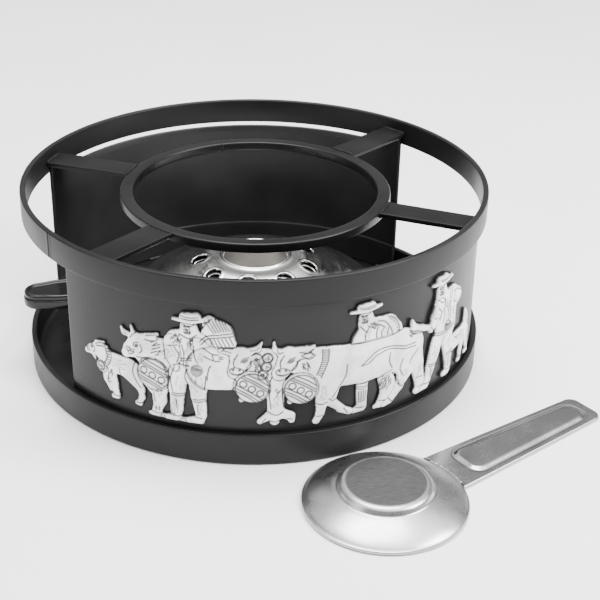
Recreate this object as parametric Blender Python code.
"""Fondue stand with a pot ring, a paste burner that lifts out and a loose snuffer.

Millimetres are used for the named sizes below and turned into metres where points are made.
The origin is the middle of the stand's underside, +Z is up and the relief on the front wall faces -Y.
Angles round the stand are measured from -Y towards +X.
"""

import math

import bmesh
import bpy
from mathutils import Matrix, Vector
from mathutils.geometry import delaunay_2d_cdt

MM = 0.001
GAP = 0.3

# Stand
STAND_HEIGHT = 97.0
RIM_RADIUS = 120.0
RIM_THICKNESS = 3.0
BASE_RING_HEIGHT = 16.3
PLATE_THICKNESS = 2.0
HOOP_HEIGHT = 13.5
EDGE_ROUND = 0.7
WALL_RADIUS = 116.5
WALL_THICKNESS = 1.8
WALL_TOP = 88.2
FRONT_WALL_HALF_ANGLE = 63.7
BACK_WALL_HALF_ANGLE = 59.9
BACK_WALL_DIP = 81.5
BACK_EAR_ANGLE = 9.0
BACK_EAR_SLOPE = 4.0
POT_RING_RADIUS = 70.0
POT_RING_BORE = 63.3
POT_RING_TOP = 91.0
POT_RING_HEIGHT = 5.0
ARM_THICKNESS = 2.5
ARM_WIDTH = 15.5
ARM_ANGLES = {
    "arm_front_left": -54.5, "arm_front_right": 54.5, "arm_back_left": -123.0, "arm_back_right": 123.0,
}

# Burner seat
SEAT_RADIUS = 64.5
SEAT_TOP = 34.0
SEAT_SHEET = 1.5
SEAT_HOLE = 47.6

# Burner
PAN_RADIUS = 46.6
PAN_BOTTOM = 6.0
PAN_SHEET = 1.0
FLANGE_RADIUS = 54.0
DOME_SHEET = 0.9
DOME_BASE = 35.6
DOME_OPENING = 18.0
AIR_PLATE_DROP = 1.3
AIR_PLATE_SHEET = 0.7
HOLE_RADIUS = 4.4
HOLE_CIRCLE = 29.7
HOLE_COUNT = 6
HOLE_SPACING = 40.0
FIRST_HOLE_ANGLE = -101.5
CUP_RADIUS = 17.5
CUP_SHEET = 0.7
CUP_TOP = 51.0
GAUZE_LEVEL = 33.0
GAUZE_THICKNESS = 1.6

# Burner handle, along the middle of the left opening
HANDLE_ANGLE = -91.9
TANG_WIDTH = 14.0
TANG_THICKNESS = 1.6
TANG_BOTTOM = 34.6
TANG_LENGTH = 34.0
GRIP_START = 66.0
GRIP_TIP = 122.4
GRIP_ROOT_WIDTH = 25.0
GRIP_NECK_WIDTH = 20.5
GRIP_BOTTOM = 34.5
GRIP_SPLIT = 39.6
GRIP_TOP = 42.6
SCREW_RADIUS = 2.6
SCREW_STATION = 76.0

# Snuffer, lying on the table in front of the stand
SNUFFER_AT = (22.4, -158.6)
SNUFFER_HANDLE_ANGLE = 22.0
DISH_RADIUS = 38.3
DISH_SHEET = 0.8
DISH_HEIGHT = 11.5
STRIP_TIP = 134.0
STRIP_ROOT_WIDTH = 28.5
STRIP_TIP_WIDTH = 21.5
STRIP_THICKNESS = 1.2
STRIP_BOTTOM = 0.3

# Relief
RELIEF_THICKNESS = 1.4
RELIEF_CELL = 0.6
RELIEF_TOLERANCE = 0.2
RELIEF_LEAST_GAP = 4.0
RELIEF_MESH = 4.8
INSIDE_WITH_HOLES = 2
RIVET_RADIUS = 3.0
RIVET_RISE = 2.2

ROUND_STEPS = 72
DOME_STEPS = 44
CUP_STEPS = 28
HOLE_STEPS = 14


# ---------------------------------------------------------------- helpers

def clear_scene():
    for obj in list(bpy.data.objects):
        bpy.data.objects.remove(obj, do_unlink=True)


def material(name, colour, roughness, metallic=0.0):
    made = bpy.data.materials.new(name)
    made.use_nodes = True
    shader = made.node_tree.nodes["Principled BSDF"]
    shader.inputs["Base Color"].default_value = (*colour, 1.0)
    shader.inputs["Roughness"].default_value = roughness
    shader.inputs["Metallic"].default_value = metallic
    return made


def black_paint(name):
    return material(name, (0.022, 0.022, 0.024), 0.38)


def steel(name):
    return material(name, (0.62, 0.61, 0.59), 0.3, 1.0)


def pewter(name):
    return material(name, (0.68, 0.68, 0.66), 0.42, 0.85)


def black_plastic(name):
    return material(name, (0.012, 0.012, 0.012), 0.16)


def polar(radius, degrees, height):
    """A point in metres at an angle from -Y towards +X."""
    turn = math.radians(degrees)
    return Vector((radius * math.sin(turn), -radius * math.cos(turn), height)) * MM


def keep(name, bm, look, sharp=35.0):
    """Closes the bmesh into an object with its own material, shaded smooth between sharp edges."""
    bmesh.ops.remove_doubles(bm, verts=bm.verts, dist=1e-6)
    bmesh.ops.recalc_face_normals(bm, faces=bm.faces)
    mesh = bpy.data.meshes.new(name)
    bm.to_mesh(mesh)
    bm.free()
    mesh.shade_smooth()
    mesh.set_sharp_from_angle(angle=math.radians(sharp))
    mesh.materials.append(look)
    obj = bpy.data.objects.new(name, mesh)
    bpy.context.collection.objects.link(obj)
    return obj


def turned_mesh(profile, steps=ROUND_STEPS, start=0.0, sweep=360.0):
    """A closed (radius, height) outline in mm turned about Z from one angle through another."""
    bm = bmesh.new()
    verts = [bm.verts.new(polar(r, start, z)) for r, z in profile]
    edges = [bm.edges.new((a, b)) for a, b in zip(verts, verts[1:] + verts[:1])]
    bmesh.ops.spin(bm, geom=verts + edges, cent=(0, 0, 0), axis=(0, 0, 1),
                   angle=math.radians(sweep), steps=steps, use_merge=sweep == 360.0)
    bmesh.ops.remove_doubles(bm, verts=bm.verts, dist=1e-6)
    if sweep != 360.0:
        ends = [edge for edge in bm.edges if edge.is_boundary]
        bmesh.ops.edgeloop_fill(bm, edges=ends)
    return bm


def turned(name, profile, look, steps=ROUND_STEPS):
    return keep(name, turned_mesh(profile, steps), look)


def prism_mesh(outline, bottom, top):
    """An outline of (x, y) points in mm, extruded between two heights."""
    bm = bmesh.new()
    face = bm.faces.new([bm.verts.new(Vector((x, y, bottom)) * MM) for x, y in outline])
    raised = bmesh.ops.extrude_face_region(bm, geom=[face])["geom"]
    tops = [item for item in raised if isinstance(item, bmesh.types.BMVert)]
    bmesh.ops.translate(bm, verts=tops, vec=(0, 0, (top - bottom) * MM))
    return bm


def rounded_band(inner, outer, bottom, top, edge):
    """The section of a flat hoop whose four long edges are eased."""
    return [
        (inner + edge, bottom), (outer - edge, bottom), (outer, bottom + edge), (outer, top - edge),
        (outer - edge, top), (inner + edge, top), (inner, top - edge), (inner, bottom + edge),
    ]


def sheet(upper_line, thickness):
    """The section of pressed sheet: (radius, height) points drawn inwards and their copy underneath."""
    below = []
    for i, (r, z) in enumerate(upper_line):
        before = upper_line[max(i - 1, 0)]
        after = upper_line[min(i + 1, len(upper_line) - 1)]
        along = Vector((after[0] - before[0], after[1] - before[1])).normalized()
        below.append((r - along.y * thickness, z + along.x * thickness))
    return list(upper_line) + below[::-1]


def turn_and_place(obj, degrees, x=0.0, y=0.0):
    """Swings a piece modelled along +X so that it points to an angle measured from -Y."""
    obj.rotation_euler.z = math.radians(degrees - 90.0)
    obj.location.x = x * MM
    obj.location.y = y * MM


# ---------------------------------------------------------------- stand

def base():
    plate_radius = RIM_RADIUS - RIM_THICKNESS - GAP
    turned("base_plate", [(0, 0), (plate_radius, 0), (plate_radius, PLATE_THICKNESS), (0, PLATE_THICKNESS)],
           black_paint("base_plate"))
    section = rounded_band(RIM_RADIUS - RIM_THICKNESS, RIM_RADIUS, 0, BASE_RING_HEIGHT, EDGE_ROUND)
    turned("base_ring", section, black_paint("base_ring"))


def wall_section(top):
    inner = WALL_RADIUS - WALL_THICKNESS
    bottom = PLATE_THICKNESS + GAP
    return [(inner, bottom), (WALL_RADIUS, bottom), (WALL_RADIUS, top), (inner, top)]


def front_wall():
    bm = turned_mesh(wall_section(WALL_TOP), 42, -FRONT_WALL_HALF_ANGLE, 2 * FRONT_WALL_HALF_ANGLE)
    keep("front_wall", bm, black_paint("front_wall"))


def back_wall():
    """The top edge drops between the two arms and keeps an ear under each of them."""
    bm = turned_mesh(wall_section(WALL_TOP), 60, 180 - BACK_WALL_HALF_ANGLE, 2 * BACK_WALL_HALF_ANGLE)
    for vert in bm.verts:
        if vert.co.z < (WALL_TOP - 1) * MM:
            continue
        from_back = abs(math.degrees(math.atan2(vert.co.x, vert.co.y)))
        from_end = BACK_WALL_HALF_ANGLE - from_back
        share = min(max((from_end - BACK_EAR_ANGLE) / BACK_EAR_SLOPE, 0.0), 1.0)
        vert.co.z = (WALL_TOP + (BACK_WALL_DIP - WALL_TOP) * share) * MM
    keep("back_wall", bm, black_paint("back_wall"))


def hoop_and_ring():
    turned("top_hoop", rounded_band(RIM_RADIUS - RIM_THICKNESS, RIM_RADIUS, STAND_HEIGHT - HOOP_HEIGHT,
                                    STAND_HEIGHT, EDGE_ROUND), black_paint("top_hoop"))
    turned("pot_ring", rounded_band(POT_RING_BORE, POT_RING_RADIUS, POT_RING_TOP - POT_RING_HEIGHT,
                                    POT_RING_TOP, EDGE_ROUND), black_paint("pot_ring"))


def arms():
    """Flat bars whose ends follow the round of the ring and of the hoop."""
    half = ARM_WIDTH / 2
    outline = []
    for radius, sides in ((POT_RING_RADIUS + GAP, (-1, -0.5, 0, 0.5, 1)),
                          (RIM_RADIUS - RIM_THICKNESS - GAP, (1, 0.5, 0, -0.5, -1))):
        for side in sides:
            outline.append((math.sqrt(radius**2 - (side * half) ** 2), side * half))
    for name, angle in ARM_ANGLES.items():
        arm = keep(name, prism_mesh(outline, POT_RING_TOP - ARM_THICKNESS, POT_RING_TOP), black_paint(name))
        turn_and_place(arm, angle)


def burner_seat():
    """An upturned dish, open in the middle, on which the burner's flange rests."""
    low = PLATE_THICKNESS + GAP
    inside = SEAT_RADIUS - SEAT_SHEET
    turned("burner_seat", [
        (SEAT_RADIUS, low), (SEAT_RADIUS, SEAT_TOP - 1.5), (SEAT_RADIUS - 1.5, SEAT_TOP),
        (SEAT_HOLE, SEAT_TOP), (SEAT_HOLE, SEAT_TOP - SEAT_SHEET), (inside - 1.0, SEAT_TOP - SEAT_SHEET),
        (inside, SEAT_TOP - 2.5), (inside, low),
    ], black_paint("burner_seat"), DOME_STEPS)


# ---------------------------------------------------------------- burner

def burner_pan():
    inner = PAN_RADIUS - PAN_SHEET
    flange_low = SEAT_TOP + GAP
    flange_high = flange_low + PAN_SHEET
    turned("burner_pan", [
        (0, PAN_BOTTOM), (PAN_RADIUS - 4, PAN_BOTTOM), (PAN_RADIUS, PAN_BOTTOM + 4),
        (PAN_RADIUS, flange_low), (FLANGE_RADIUS, flange_low), (FLANGE_RADIUS, flange_high),
        (inner, flange_high),
        (inner, PAN_BOTTOM + 4.5), (inner - 3.5, PAN_BOTTOM + PAN_SHEET), (0, PAN_BOTTOM + PAN_SHEET),
    ], steel("burner_pan"), DOME_STEPS)


def dome_line():
    """The outside of the dome, from the flange up to the lip round the opening."""
    return [(FLANGE_RADIUS, DOME_BASE + DOME_SHEET), (52.6, 38.4), (50.0, 40.2), (45.0, 42.7), (39.5, 45.2),
            (34.0, 47.7), (29.5, 49.8), (27.0, 50.9), (24.0, 51.45), (20.5, 51.6), (DOME_OPENING + 0.8, 52.1),
            (DOME_OPENING, 52.9)]


def air_holes(piece):
    """Round air holes, evenly spaced along the front of a circle."""
    for number in range(HOLE_COUNT):
        angle = FIRST_HOLE_ANGLE + number * HOLE_SPACING
        bm = bmesh.new()
        bmesh.ops.create_cone(bm, cap_ends=True, segments=HOLE_STEPS, radius1=HOLE_RADIUS * MM,
                              radius2=HOLE_RADIUS * MM, depth=16 * MM)
        centre = polar(HOLE_CIRCLE, angle, 48.0)
        outward = Vector((centre.x, centre.y, 0)).normalized()
        lean = Vector((0, 0, 1)).rotation_difference(outward * 0.4 + Vector((0, 0, 1)))
        placed = Matrix.Translation(centre) @ lean.to_matrix().to_4x4()
        bmesh.ops.transform(bm, verts=bm.verts, matrix=placed)
        cutter = keep(f"cut_{piece.name}_{number}", bm, piece.data.materials[0])
        cutter.hide_render = True
        cutter.display_type = "WIRE"
        cut = piece.modifiers.new(f"hole_{number}", "BOOLEAN")
        cut.operation = "DIFFERENCE"
        cut.object = cutter


def dome_and_air_plate():
    line = dome_line()
    dome = turned("burner_dome", sheet(line, DOME_SHEET), steel("burner_dome"), DOME_STEPS)
    under = [(r - 1.2, z - AIR_PLATE_DROP - DOME_SHEET) for r, z in line[2:-3]]
    plate = turned("air_plate", sheet(under, AIR_PLATE_SHEET), steel("air_plate"), DOME_STEPS)
    for piece in (dome, plate):
        air_holes(piece)


def fuel_cup():
    bottom = PAN_BOTTOM + PAN_SHEET + GAP
    inner = CUP_RADIUS - CUP_SHEET
    turned("fuel_cup", [(0, bottom), (CUP_RADIUS, bottom), (CUP_RADIUS, CUP_TOP), (inner, CUP_TOP),
                        (inner, bottom + CUP_SHEET), (0, bottom + CUP_SHEET)], steel("fuel_cup"), CUP_STEPS)
    radius = inner - GAP
    low = bottom + CUP_SHEET + GAP
    high = GAUZE_LEVEL - GAP
    turned("fuel_wadding", [(0, low), (radius, low), (radius, high), (0, high)],
           material("fuel_wadding", (0.75, 0.72, 0.66), 0.9), CUP_STEPS)
    top = GAUZE_LEVEL + GAUZE_THICKNESS
    turned("fuel_gauze", [(0, GAUZE_LEVEL), (radius, GAUZE_LEVEL), (radius, top), (0, top)],
           steel("fuel_gauze"), CUP_STEPS)


def grip_outline(inset=0.0):
    """Seen from above, pointing along +X: straight sides drawing in to a round tip."""
    tip_radius = GRIP_NECK_WIDTH * 0.42 - inset
    tip_centre = GRIP_TIP - inset - tip_radius
    points = [(GRIP_START + inset, -GRIP_ROOT_WIDTH / 2 + inset),
              (tip_centre - 8, -GRIP_NECK_WIDTH / 2 + inset)]
    for step in range(13):
        turn = math.radians(-90 + step * 15)
        points.append((tip_centre + tip_radius * math.cos(turn), tip_radius * math.sin(turn)))
    points.append((tip_centre - 8, GRIP_NECK_WIDTH / 2 - inset))
    points.append((GRIP_START + inset, GRIP_ROOT_WIDTH / 2 - inset))
    return points


def burner_handle():
    tang_start = FLANGE_RADIUS + GAP
    half = TANG_WIDTH / 2
    near = [(math.sqrt(tang_start**2 - y * y), y) for y in (half, half / 2, 0, -half / 2, -half)]
    tang_end = tang_start + TANG_LENGTH
    tang_top = TANG_BOTTOM + TANG_THICKNESS
    strip = prism_mesh(near + [(tang_end, -half), (tang_end, half)], TANG_BOTTOM, tang_top)
    tang = keep("handle_tang", strip, steel("handle_tang"))
    pocket = prism_mesh([(GRIP_START - 3, half + GAP), (GRIP_START - 3, -half - GAP),
                         (tang_end + GAP, -half - GAP), (tang_end + GAP, half + GAP)],
                        GRIP_BOTTOM - 2, tang_top + GAP)
    cutter = keep("cut_handle_grip", pocket, tang.data.materials[0])
    cutter.hide_render = True
    cutter.display_type = "WIRE"
    body = prism_mesh(grip_outline(), GRIP_BOTTOM, GRIP_SPLIT)
    grip = keep("handle_grip", body, black_plastic("handle_grip"))
    cut = grip.modifiers.new("tang_pocket", "BOOLEAN")
    cut.operation = "DIFFERENCE"
    cut.object = cutter
    cover = keep("handle_cover", prism_mesh(grip_outline(0.4), GRIP_SPLIT + GAP, GRIP_TOP),
                 black_plastic("handle_cover"))
    ease = cover.modifiers.new("ease", "BEVEL")
    ease.width = 0.8 * MM
    ease.segments = 2
    ease.limit_method = "ANGLE"
    screw_low = TANG_BOTTOM - 1.9
    screw = turned("handle_screw", [(0, screw_low), (SCREW_RADIUS - 0.6, screw_low),
                                    (SCREW_RADIUS, screw_low + 0.6), (SCREW_RADIUS, TANG_BOTTOM - GAP),
                                    (0, TANG_BOTTOM - GAP)], steel("handle_screw"), HOLE_STEPS)
    for piece in (tang, grip, cover, cutter):
        turn_and_place(piece, HANDLE_ANGLE)
    spot = polar(SCREW_STATION, HANDLE_ANGLE, 0)
    turn_and_place(screw, HANDLE_ANGLE, spot.x / MM, spot.y / MM)


# ---------------------------------------------------------------- snuffer

def snuffer():
    rise = DISH_HEIGHT
    line = [(DISH_RADIUS, 1.4), (DISH_RADIUS - 1.6, 1.4), (DISH_RADIUS - 3.0, 2.3), (24.6, rise * 0.66),
            (23.4, rise * 0.74), (21.4, rise * 0.93), (20.0, rise), (0, rise)]
    outside = [(DISH_RADIUS, 0.0)] + line[:-1] + [(0, rise)]
    inside = [(0, rise - DISH_SHEET), (19.7, rise - DISH_SHEET), (20.7, rise * 0.93 - 0.5),
              (22.6, rise * 0.7 - 0.5), (24.2, rise * 0.6 - 0.4), (DISH_RADIUS - 3.4, 1.3),
              (DISH_RADIUS - 1.9, 0.6), (DISH_RADIUS - 1.0, 0.0)]
    dish = turned("snuffer_dish", outside + inside, steel("snuffer_dish"), DOME_STEPS)
    start = DISH_RADIUS + GAP
    half = STRIP_ROOT_WIDTH / 2
    near = [(math.sqrt(start**2 - y * y), y) for y in (half, half / 2, 0, -half / 2, -half)]
    tip = STRIP_TIP_WIDTH / 2
    corner = 4.0
    far = [(STRIP_TIP - corner, -tip), (STRIP_TIP - corner * 0.3, -tip + corner * 0.3),
           (STRIP_TIP, -tip + corner), (STRIP_TIP, tip - corner),
           (STRIP_TIP - corner * 0.3, tip - corner * 0.3), (STRIP_TIP - corner, tip)]
    strip = keep("snuffer_handle", prism_mesh(near + far, STRIP_BOTTOM, STRIP_BOTTOM + STRIP_THICKNESS),
                 steel("snuffer_handle"))
    for piece in (dish, strip):
        turn_and_place(piece, 90 + SNUFFER_HANDLE_ANGLE, *SNUFFER_AT)


# ---------------------------------------------------------------- relief

# The casting's figures. A limb is (x, z, radius) at one end and at the other, in mm along and up the wall.
FIGURES = {
    "goat": [
        (-101, 42.4, 5.4, -90, 42, 5.6), (-90, 41.5, 5.6, -86, 40.5, 5.4),
        (-102.5, 43, 5.2, -107, 46, 4.4), (-108, 47, 3.6, -113, 45, 2.6),
        (-113, 44.8, 2.4, -116.2, 43.2, 1.6), (-111.5, 42.6, 1.4, -110.6, 40.4, 0.6),
        (-109.4, 50, 1.2, -104.6, 51.3, 0.8), (-106.4, 48.8, 1.2, -102.8, 49.4, 0.7),
        (-101, 39, 3.6, -99, 31, 2.4), (-99, 31, 2.2, -97.8, 26, 1.9),
        (-97.6, 24.4, 1.8, -99.8, 23.8, 1.4), (-104, 37, 2.6, -103.6, 32, 2),
        (-103.6, 32, 1.9, -101, 27.4, 1.5), (-88.6, 39, 4.8, -83.6, 32.8, 2.3),
        (-83.6, 32.6, 2, -83, 28.4, 1.6), (-83.2, 28, 1.6, -84.6, 24.8, 1.5),
        (-84.6, 24.6, 1.5, -86, 24.4, 1.2),
    ],
    "goat_bell": [
        (-106.4, 38.6, 3.1, -106, 38.2, 3.1),
    ],
    "lead_cow": [
        (-77, 53.4, 9.4, -66, 53, 9.4), (-82, 55.4, 7.4, -78, 54, 8.5),
        (-84.4, 56.6, 5.6, -88.6, 53, 4), (-89, 51.8, 3.5, -91, 50.4, 2.6),
        (-87.6, 60.4, 1.6, -91.8, 61, 1.3), (-91.8, 61, 1.3, -93.2, 63.4, 0.7),
        (-86.2, 61.4, 1.4, -87.6, 65.4, 0.7), (-80, 61.6, 1.9, -73.8, 64.2, 0.9),
        (-74, 47, 6.5, -70, 40, 5.5), (-73.6, 41, 4.6, -73.6, 30, 3.8), (-73.6, 29, 3.4, -75, 24, 2.6),
        (-75, 22.6, 2.4, -77.4, 21.4, 1.6), (-79.4, 37, 2.6, -77.6, 33.2, 1.2),
    ],
    "ground": [
        (-75, 21.2, 1.3, -53, 20.9, 1.4), (-79, 21, 1, -75, 21.2, 1.3),
    ],
    "lead_bell": [
        (-76, 43.4, 8.5, -76, 42.8, 8.5),
    ],
    "pack": [
        (-48.6, 74.2, 3.6, -45, 68.5, 7.6), (-45, 68, 7.6, -43.4, 64.5, 7.2),
    ],
    "drover": [
        (-61, 63, 6.6, -54, 62.6, 6.4), (-59, 56, 8.2, -57.6, 49, 8.2),
        (-63.4, 47, 4.6, -64.4, 38, 4.2), (-64.4, 38, 4, -65, 27, 3.4), (-65, 26, 3, -65, 23, 2.7),
        (-65.6, 22, 2.1, -69.6, 21.3, 1.5), (-54.6, 46, 5.4, -54.2, 36, 4),
        (-54.2, 34, 3.7, -53, 25, 2.9), (-53.6, 22.4, 2.4, -59, 21.4, 1.6),
        (-65, 64.4, 4.2, -66.4, 61, 4), (-58.2, 70.8, 4.3, -57.8, 68, 4.8),
    ],
    "drover_arms": [
        (-66.6, 62.6, 3.9, -65.8, 55, 3.9), (-65.6, 52.4, 2.6, -64.8, 49.4, 2),
        (-53.6, 62.6, 3.8, -50, 59.6, 3), (-50, 59.4, 2.4, -46.4, 57.4, 2.1),
        (-46, 57.4, 2, -43.6, 56.8, 1.6), (-45, 55.6, 1.1, -43, 54.4, 0.9),
    ],
    "drover_hat": [
        (-65.6, 74.3, 0.8, -58, 73.8, 1.7), (-58, 73.8, 1.7, -49.6, 75.8, 1.1),
        (-60.6, 76.2, 2, -54.4, 76.6, 2.2),
    ],
    "first_cow": [
        (-48, 50.5, 11.6, -38, 51, 11.4), (-31, 54.6, 7.6, -21, 54, 7.8),
        (-18.8, 46, 5, -18.4, 32, 3.9), (-18.4, 32, 3.8, -18.4, 27.4, 4),
        (-20.6, 26.4, 2.6, -25.6, 22.8, 1.6), (-18.6, 26, 3, -18.8, 22.8, 2.4),
        (-16, 27, 3, -11.4, 25.4, 2.3), (-11.4, 25, 2.2, -10.8, 22.8, 1.7),
    ],
    "first_head": [
        (-34.4, 57.6, 5.2, -35.8, 52.6, 3.9), (-36, 51, 3.9, -36.8, 49.8, 3.7),
        (-39.4, 60, 1.6, -43.6, 60.6, 1.1), (-30, 60.8, 1.6, -26.6, 62, 1.3),
        (-26.6, 62, 1.2, -25, 64.8, 0.7), (-30.4, 57.6, 1.8, -26.4, 58, 1.2),
    ],
    "large_cow": [
        (8, 48.6, 11, 26, 48.4, 11.2), (26, 48.4, 11.2, 46, 49.4, 10.4),
        (46, 49.4, 10.4, 51.6, 48.6, 9.2), (-8, 54.6, 7, 8, 50, 10.4), (4.2, 41, 4.6, 3.6, 31, 3.2),
        (3.6, 30.4, 3, 3, 26, 2.4), (2.8, 24.4, 2.2, 1, 21, 2), (9, 40, 4, 8, 32, 2.8),
        (8.4, 30, 2.6, 13, 26, 2.1), (13, 25.4, 2.1, 17.4, 23.2, 2), (46.6, 43, 7.6, 49, 37, 5.2),
        (49, 36, 4.8, 45.6, 29.4, 3.2), (45.6, 29, 3, 41, 24, 2.4), (40, 22.8, 2.3, 36.6, 21.5, 1.7),
        (54.4, 46, 6, 57, 37, 4.8), (57.2, 36, 4.4, 59.8, 26, 3.4), (60, 25, 3.2, 60.6, 22.2, 2.7),
        (57.6, 21.6, 2.2, 64, 21.4, 2.2), (50.4, 36, 2.6, 51, 33.6, 1.8),
    ],
    "large_head": [
        (-12.6, 57.4, 5.2, -15, 52, 4), (-15.4, 50.2, 4, -16.6, 49, 3.8),
        (-17, 60, 1.5, -19.2, 61.6, 1.1), (-19.2, 61.8, 1, -19.4, 64.8, 0.7),
        (-8.6, 60.4, 1.6, -4.6, 60.4, 1.5), (-4.4, 60.4, 1.5, -0.8, 61.6, 0.7),
        (-7, 57.4, 1.6, -3, 57.6, 1.1),
    ],
    "rosettes": [
        (-22.4, 57.4, 2.3, -22, 57.4, 2.3), (-23, 52.8, 2.3, -22.6, 52.8, 2.3),
        (-24.6, 48.4, 2.3, -24.2, 48.4, 2.3),
    ],
    "first_bell": [
        (-29.6, 42.2, 8.2, -29, 41.4, 8.2), (-34.4, 34.8, 1.3, -33.8, 35.4, 1.3),
    ],
    "second_bell": [
        (-7.2, 40.4, 8.2, -6.6, 39.6, 8.2), (-12, 33.2, 1.3, -11.4, 33.8, 1.3),
    ],
    "walker": [
        (25, 60, 7.6, 30, 62.6, 7.6), (28, 65, 5.6, 36.4, 63.6, 6.6), (36.4, 63.4, 6.6, 38.6, 60, 7.4),
        (24.6, 71.6, 4, 25, 69, 4.6), (24, 38, 3.4, 24, 25, 2.9), (24.4, 23.6, 2.4, 19.8, 22.6, 1.7),
        (37, 39, 5.2, 38.8, 30, 4.6), (38.8, 29, 4.4, 35, 23, 2.8), (34.6, 22.4, 1.8, 31.6, 21.6, 1.3),
    ],
    "walker_hat": [
        (16.6, 75.6, 0.8, 24, 75.2, 1.7), (24, 75.2, 1.7, 32.4, 76.8, 0.8),
        (21.4, 77.2, 2, 27.4, 77.6, 2.1),
    ],
    "tail": [
        (52.6, 58.6, 2.4, 51.8, 61.8, 1.2), (53, 57.8, 2.4, 59, 55.8, 1.9),
        (59, 55.8, 1.8, 66, 53.4, 1.6),
    ],
    "leader": [
        (73, 64, 5.4, 81, 63, 7), (76.4, 58, 8, 77.4, 48, 7.8), (84, 63.4, 6.6, 88, 62.4, 4.8),
        (82, 57, 6, 83.4, 48, 4.8), (71.6, 43, 5, 67.4, 31, 3.6), (67.4, 30.6, 3.4, 65, 23.6, 2.7),
        (64.4, 21.6, 2, 61, 21.2, 1.6), (80.4, 43, 5.4, 83.2, 31, 3.7),
        (83.2, 30.4, 3.4, 83.6, 23.6, 2.7), (83.2, 21.6, 2, 79.4, 21.2, 1.5),
        (72.6, 71.4, 4, 73.2, 69, 4.6),
    ],
    "leader_arm": [
        (71.6, 63.4, 3.9, 68.4, 58.6, 3.2), (68.2, 58, 2.6, 66.2, 54.6, 2.2),
        (66.2, 54, 2.1, 65, 52.6, 1.8),
    ],
    "leader_hat": [
        (65.2, 75.6, 0.8, 72.4, 75.2, 1.7), (72.4, 75.2, 1.7, 80.8, 76.6, 0.8),
        (69.6, 77, 2.1, 75.6, 77.2, 2.2),
    ],
    "dog": [
        (88, 35.6, 4.8, 102, 35.8, 5), (103.6, 38, 3.2, 104, 43, 2.7), (104, 43, 2.6, 102.8, 47, 1.4),
        (101, 33, 3.6, 98.4, 26, 2.1), (98.4, 26, 1.9, 98.2, 22.6, 1.7),
        (98, 21.4, 1.5, 96.2, 21.2, 1.2), (105, 34, 4, 107.6, 27, 2.4),
        (107.6, 27, 2.1, 109, 22.4, 1.8), (108.8, 21.4, 1.6, 106.4, 21.1, 1.2),
    ],
}
RIVETS = {"rivet_left": (-54.0, 49.0), "rivet_right": (77.5, 50.0)}


def limb_distance(x, z, limb):
    """Distance in mm from a point to the outside of a limb, negative inside it."""
    x0, z0, r0, x1, z1, r1 = limb
    along_x, along_z = x1 - x0, z1 - z0
    share = ((x - x0) * along_x + (z - z0) * along_z) / max(along_x**2 + along_z**2, 1e-6)
    share = min(max(share, 0.0), 1.0)
    away = math.hypot(x - x0 - share * along_x, z - z0 - share * along_z)
    return away - (r0 + share * (r1 - r0))


def casting_field():
    """The distance to the outside of all the figures together, on a square grid, and the grid's corner."""
    limbs = [limb for figure in FIGURES.values() for limb in figure]
    reach = 3 * RELIEF_CELL
    low_x = min(min(limb[0] - limb[2], limb[3] - limb[5]) for limb in limbs) - reach
    low_z = min(min(limb[1] - limb[2], limb[4] - limb[5]) for limb in limbs) - reach
    high_x = max(max(limb[0] + limb[2], limb[3] + limb[5]) for limb in limbs) + reach
    high_z = max(max(limb[1] + limb[2], limb[4] + limb[5]) for limb in limbs) + reach
    columns = math.ceil((high_x - low_x) / RELIEF_CELL)
    rows = math.ceil((high_z - low_z) / RELIEF_CELL)
    field = []
    for i in range(columns + 1):
        x = low_x + i * RELIEF_CELL
        near = [limb for limb in limbs if min(limb[0], limb[3]) - 14 < x < max(limb[0], limb[3]) + 14]
        column = []
        for j in range(rows + 1):
            z = low_z + j * RELIEF_CELL
            column.append(min((limb_distance(x, z, limb) for limb in near), default=reach) or 1e-6)
        field.append(column)
    return field, low_x, low_z


def outlines(field, low_x, low_z):
    """The closed lines where the field changes sign, joined from each grid cell's crossings."""
    follows = {}
    places = {}

    def crossing(a, b):
        key = (min(a, b), max(a, b))
        da, db = field[a[0]][a[1]], field[b[0]][b[1]]
        share = da / (da - db)
        places[key] = (low_x + (a[0] + share * (b[0] - a[0])) * RELIEF_CELL,
                       low_z + (a[1] + share * (b[1] - a[1])) * RELIEF_CELL)
        return key

    for i in range(len(field) - 1):
        for j in range(len(field[0]) - 1):
            corners = [(i, j), (i + 1, j), (i + 1, j + 1), (i, j + 1)]
            leaving, entering = [], []
            for a, b in zip(corners, corners[1:] + corners[:1]):
                inside_a, inside_b = field[a[0]][a[1]] < 0, field[b[0]][b[1]] < 0
                if inside_a and not inside_b:
                    leaving.append(crossing(a, b))
                elif inside_b and not inside_a:
                    entering.append(crossing(a, b))
            for start, end in zip(leaving, entering):
                follows[start] = end
    loops = []
    while follows:
        first, here = follows.popitem()
        loop = [first]
        while here != first:
            loop.append(here)
            here = follows.pop(here)
        loops.append([places[key] for key in loop])
    return loops


def thinned(points):
    """Drops the points that lie within the tolerance of a straight line between those kept."""
    if len(points) < 3:
        return points
    start, end = Vector(points[0]), Vector(points[-1])
    along = end - start
    length = max(along.length, 1e-9)
    offsets = [abs(along.x * (p[1] - start.y) - along.y * (p[0] - start.x)) / length for p in points]
    worst = max(range(len(points)), key=offsets.__getitem__)
    if offsets[worst] < RELIEF_TOLERANCE:
        return [points[0], points[-1]]
    return thinned(points[: worst + 1])[:-1] + thinned(points[worst:])


def divided(loop):
    """Splits the sides that run far round the wall, so that they can bend with it."""
    points = []
    for (x0, z0), (x1, z1) in zip(loop, loop[1:] + loop[:1]):
        parts = max(1, math.ceil(abs(x1 - x0) / RELIEF_MESH))
        points += [(x0 + (x1 - x0) * k / parts, z0 + (z1 - z0) * k / parts) for k in range(parts)]
    return points


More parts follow.
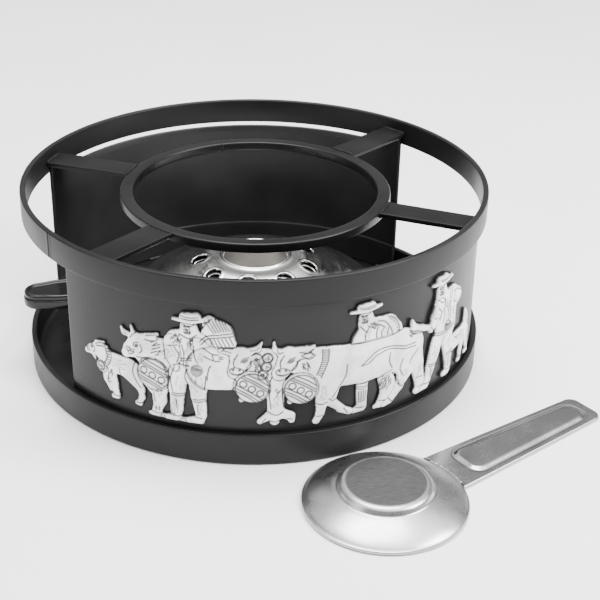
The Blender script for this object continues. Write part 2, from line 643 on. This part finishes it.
def area_of(loop):
    return sum(x0 * z1 - x1 * z0 for (x0, z0), (x1, z1) in zip(loop, loop[1:] + loop[:1])) / 2


def casting_outlines(field, low_x, low_z):
    """The casting's outer line and the lines of the gaps inside it, with few points."""
    kept = []
    for loop in outlines(field, low_x, low_z):
        if abs(area_of(loop)) < RELIEF_LEAST_GAP:
            continue
        half = len(loop) // 2
        kept.append(divided(thinned(loop[: half + 1])[:-1] + thinned(loop[half:] + loop[:1])[:-1]))
    return kept


def casting():
    """All the figures as one plate: outlined, filled with a mesh, thickened and bent round the wall."""
    field, low_x, low_z = casting_field()
    points, edges = [], []
    for loop in casting_outlines(field, low_x, low_z):
        first = len(points)
        points += loop
        edges += [(first + k, first + (k + 1) % len(loop)) for k in range(len(loop))]
    stride = round(RELIEF_MESH / RELIEF_CELL)
    for i in range(0, len(field), stride):
        for j in range(0, len(field[0]), stride):
            if field[i][j] < -1.2:
                points.append((low_x + i * RELIEF_CELL, low_z + j * RELIEF_CELL))
    flat = delaunay_2d_cdt([Vector(p) for p in points], edges, [], INSIDE_WITH_HOLES, 1e-5)
    bm = bmesh.new()
    verts = [bm.verts.new((p.x, 0, p.y)) for p in flat[0]]
    for face in flat[2]:
        bm.faces.new([verts[k] for k in face])
    bmesh.ops.delete(bm, geom=[v for v in bm.verts if not v.link_faces], context="VERTS")
    back = WALL_RADIUS + GAP
    raised = bmesh.ops.extrude_face_region(bm, geom=bm.faces[:], use_keep_orig=True)["geom"]
    fronts = {item for item in raised if isinstance(item, bmesh.types.BMVert)}
    for vert in bm.verts:
        angle = math.degrees(vert.co.x / (back + RELIEF_THICKNESS))
        radius = back + (RELIEF_THICKNESS if vert in fronts else 0)
        vert.co = polar(radius, angle, vert.co.z)
    keep("relief", bm, pewter("relief"), 30)


def rivet(name, place):
    """A domed head, standing just off the relief on its own axis."""
    low = WALL_RADIUS + 2 * GAP + RELIEF_THICKNESS
    steps = 5
    turns = [math.pi / 2 * k / steps for k in range(steps + 1)]
    arc = [(RIVET_RADIUS * math.cos(turn), RIVET_RISE * math.sin(turn)) for turn in turns]
    head = turned(name, [(0, 0)] + arc, pewter(name), HOLE_STEPS)
    angle = math.degrees(place[0] / WALL_RADIUS)
    head.location = polar(low, angle, place[1])
    head.rotation_euler = (math.radians(90), 0, math.radians(angle))


def relief():
    casting()
    for name, place in RIVETS.items():
        rivet(name, place)


# ---------------------------------------------------------------- build

clear_scene()
base()
front_wall()
back_wall()
hoop_and_ring()
arms()
burner_seat()
burner_pan()
dome_and_air_plate()
fuel_cup()
burner_handle()
snuffer()
relief()
